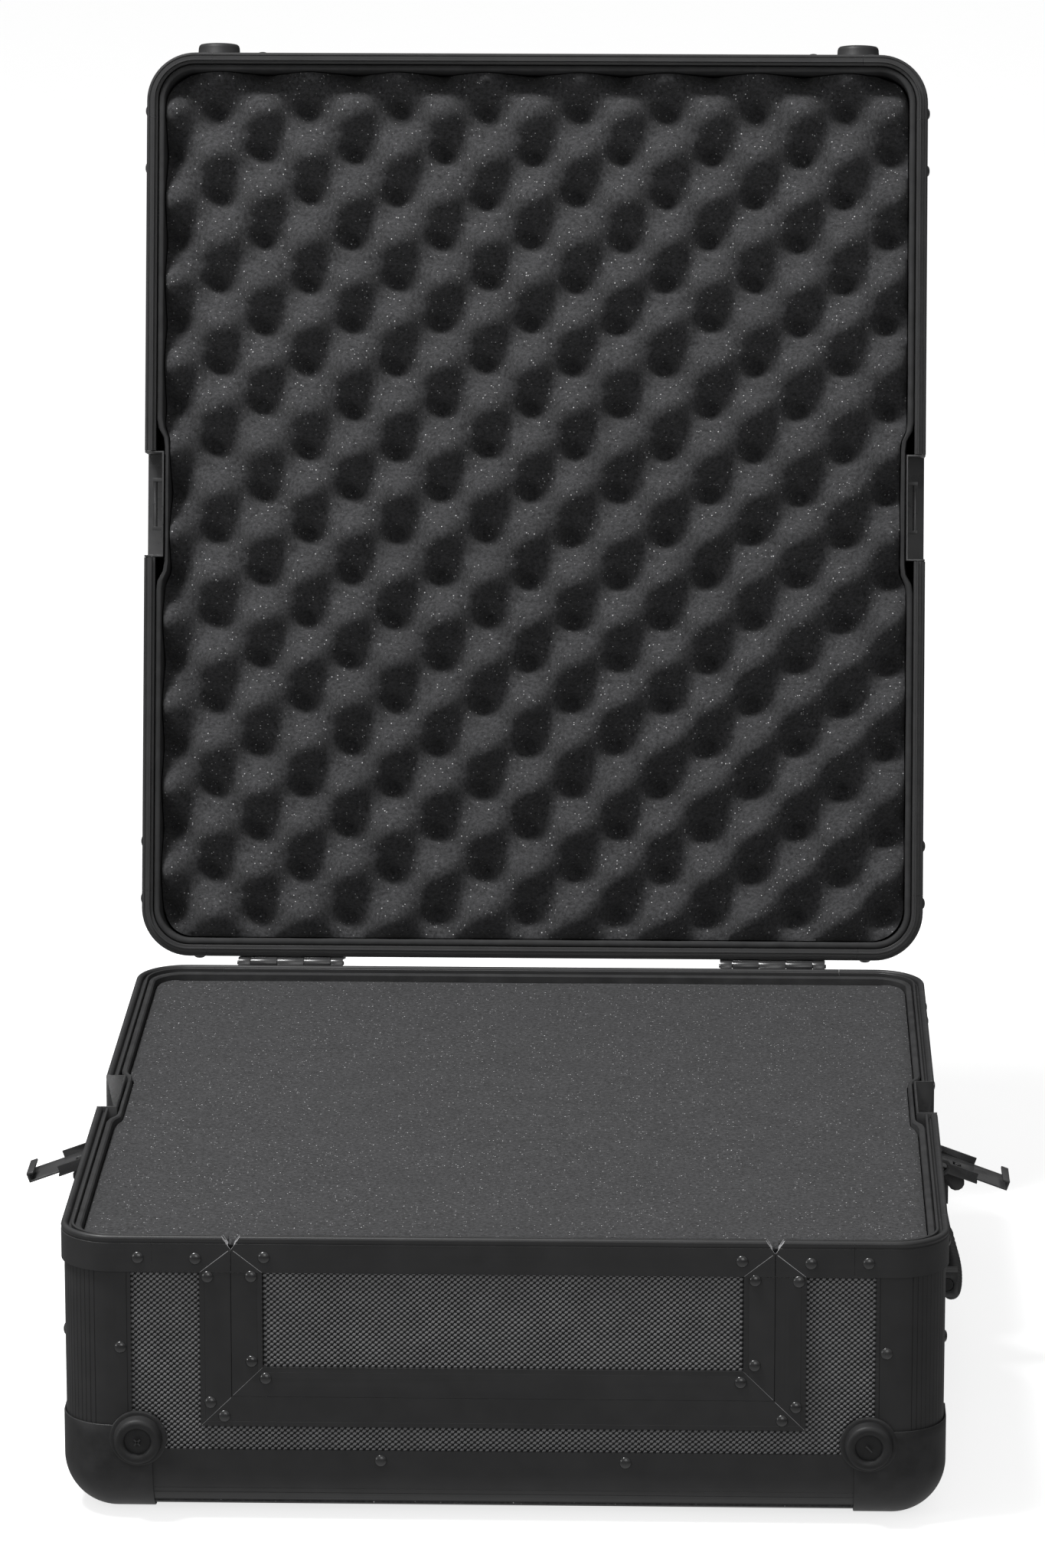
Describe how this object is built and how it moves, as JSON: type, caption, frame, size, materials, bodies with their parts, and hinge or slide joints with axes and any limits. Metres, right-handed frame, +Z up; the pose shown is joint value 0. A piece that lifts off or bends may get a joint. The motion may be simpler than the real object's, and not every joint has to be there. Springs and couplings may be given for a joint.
{
  "type": "attache case",
  "caption": "Foam-lined flight-style attache case with hinged lid, removable front panel, recessed butterfly latches and a side carrying handle.",
  "frame": {"origin": "centre of the base's underside, on the plane that the base's ball corners rest on", "axes": "+X to the right seen from the front, +Y to the rear where the hinges are, +Z up"},
  "size_m": [0.53, 0.7087, 0.6638],
  "materials": {
    "laminate": "dimpled laminate",
    "extrusion": "satin black anodised",
    "steel": "black powder coat",
    "rubber": "matte",
    "grip": "textured",
    "liner": "matte closed-cell sheet",
    "foam": "open-cell foam"
  },
  "bodies": {
    "base": {"base_bottom_board": "laminate", "base_front_board": "laminate", "base_rear_board": "laminate", "base_left_board": "laminate", "base_right_board": "laminate", "base_edge_front": "extrusion", "base_edge_rear": "extrusion", "base_edge_left": "extrusion", "base_edge_right": "extrusion", "corner_post_front_left": "extrusion", "corner_post_front_right": "extrusion", "corner_post_rear_left": "extrusion", "corner_post_rear_right": "extrusion", "base_ball_corner_front_left": "steel", "base_ball_corner_front_right": "steel", "base_ball_corner_rear_left": "steel", "base_ball_corner_rear_right": "steel", "base_rim_rear": "extrusion", "base_rim_front_left": "extrusion", "base_rim_front_right": "extrusion", "opening_frame": "extrusion", "latch_dish_left": "steel", "latch_dish_right": "steel", "base_liner": "liner", "base_foam": "foam", "base_foot_left": "rubber", "base_foot_right": "rubber", "handle_plate": "steel", "hinge_leaf_base_left": "steel", "hinge_leaf_base_right": "steel", "hinge_pin_left": "steel", "hinge_pin_right": "steel"},
    "lid": {"lid_top_board": "laminate", "lid_wall_board": "laminate", "lid_rim_rear": "extrusion", "lid_rim_front": "extrusion", "lid_edge_frame": "extrusion", "lid_ball_corner_front_left": "steel", "lid_ball_corner_front_right": "steel", "lid_ball_corner_rear_left": "steel", "lid_ball_corner_rear_right": "steel", "lid_foot_left": "rubber", "lid_foot_right": "rubber", "hinge_leaf_lid_left": "steel", "hinge_leaf_lid_right": "steel", "lid_keeper_left": "steel", "lid_keeper_right": "steel", "lid_foam": "foam", "lid_liner": "liner"},
    "front_panel": {"front_panel_frame": "extrusion", "front_panel_board": "laminate"},
    "handle": {"handle_grip": "grip"},
    "latch_left": {"latch_body_left": "steel"},
    "hook_left": {"latch_hook_left": "steel"},
    "key_left": {"latch_key_left": "steel"},
    "wing_left": {"latch_wing_left": "steel"},
    "latch_right": {"latch_body_right": "steel"},
    "hook_right": {"latch_hook_right": "steel"},
    "key_right": {"latch_key_right": "steel"},
    "wing_right": {"latch_wing_right": "steel"}
  },
  "joints": [
    {"name": "lid_hinge", "type": "hinge", "parent": "base", "child": "lid", "pos_m": [0, 0.264, 0.15095], "axis": [-1, 0, 0], "range_deg": [-103.8, 0]},
    {"name": "front_panel_slide", "type": "slide", "parent": "base", "child": "front_panel", "axis": [0, 0, 1], "range_m": [0, 0.11]},
    {"name": "handle_swing", "type": "hinge", "parent": "base", "child": "handle", "pos_m": [0.2293, 0, 0.0735], "axis": [0, -1, 0], "range_deg": [0, 90]},
    {"name": "latch_right_swing", "type": "hinge", "parent": "base", "child": "latch_right", "pos_m": [0.2205, 0, 0.1188], "axis": [0, 1, 0], "range_deg": [-110, 0]},
    {"name": "key_right_turn", "type": "hinge", "parent": "latch_right", "child": "key_right", "pos_m": [0.23459, 0, 0.11367], "axis": [-0.342, 0, -0.9397], "range_deg": [-180, 0]},
    {"name": "hook_right_draw", "type": "slide", "parent": "latch_right", "child": "hook_right", "axis": [0.9397, 0, -0.342], "range_m": [-0.005, 0]},
    {"name": "wing_right_fold", "type": "hinge", "parent": "key_right", "child": "wing_right", "pos_m": [0.23306, 0, 0.10944], "axis": [0.9397, 0, -0.342], "range_deg": [-90, 0]},
    {"name": "latch_left_swing", "type": "hinge", "parent": "base", "child": "latch_left", "pos_m": [-0.2205, 0, 0.1188], "axis": [0, -1, 0], "range_deg": [-110, 0]},
    {"name": "key_left_turn", "type": "hinge", "parent": "latch_left", "child": "key_left", "pos_m": [-0.23459, 0, 0.11367], "axis": [0.342, 0, -0.9397], "range_deg": [-180, 0]},
    {"name": "hook_left_draw", "type": "slide", "parent": "latch_left", "child": "hook_left", "axis": [-0.9397, 0, -0.342], "range_m": [-0.005, 0]},
    {"name": "wing_left_fold", "type": "hinge", "parent": "key_left", "child": "wing_left", "pos_m": [-0.23306, 0, 0.10944], "axis": [-0.9397, 0, -0.342], "range_deg": [-90, 0]}
  ],
  "couplings": [
    {"joint": "key_left_turn", "follows": "hook_left_draw", "rad_per_m": 628.32},
    {"joint": "key_right_turn", "follows": "hook_right_draw", "rad_per_m": 628.32}
  ]
}
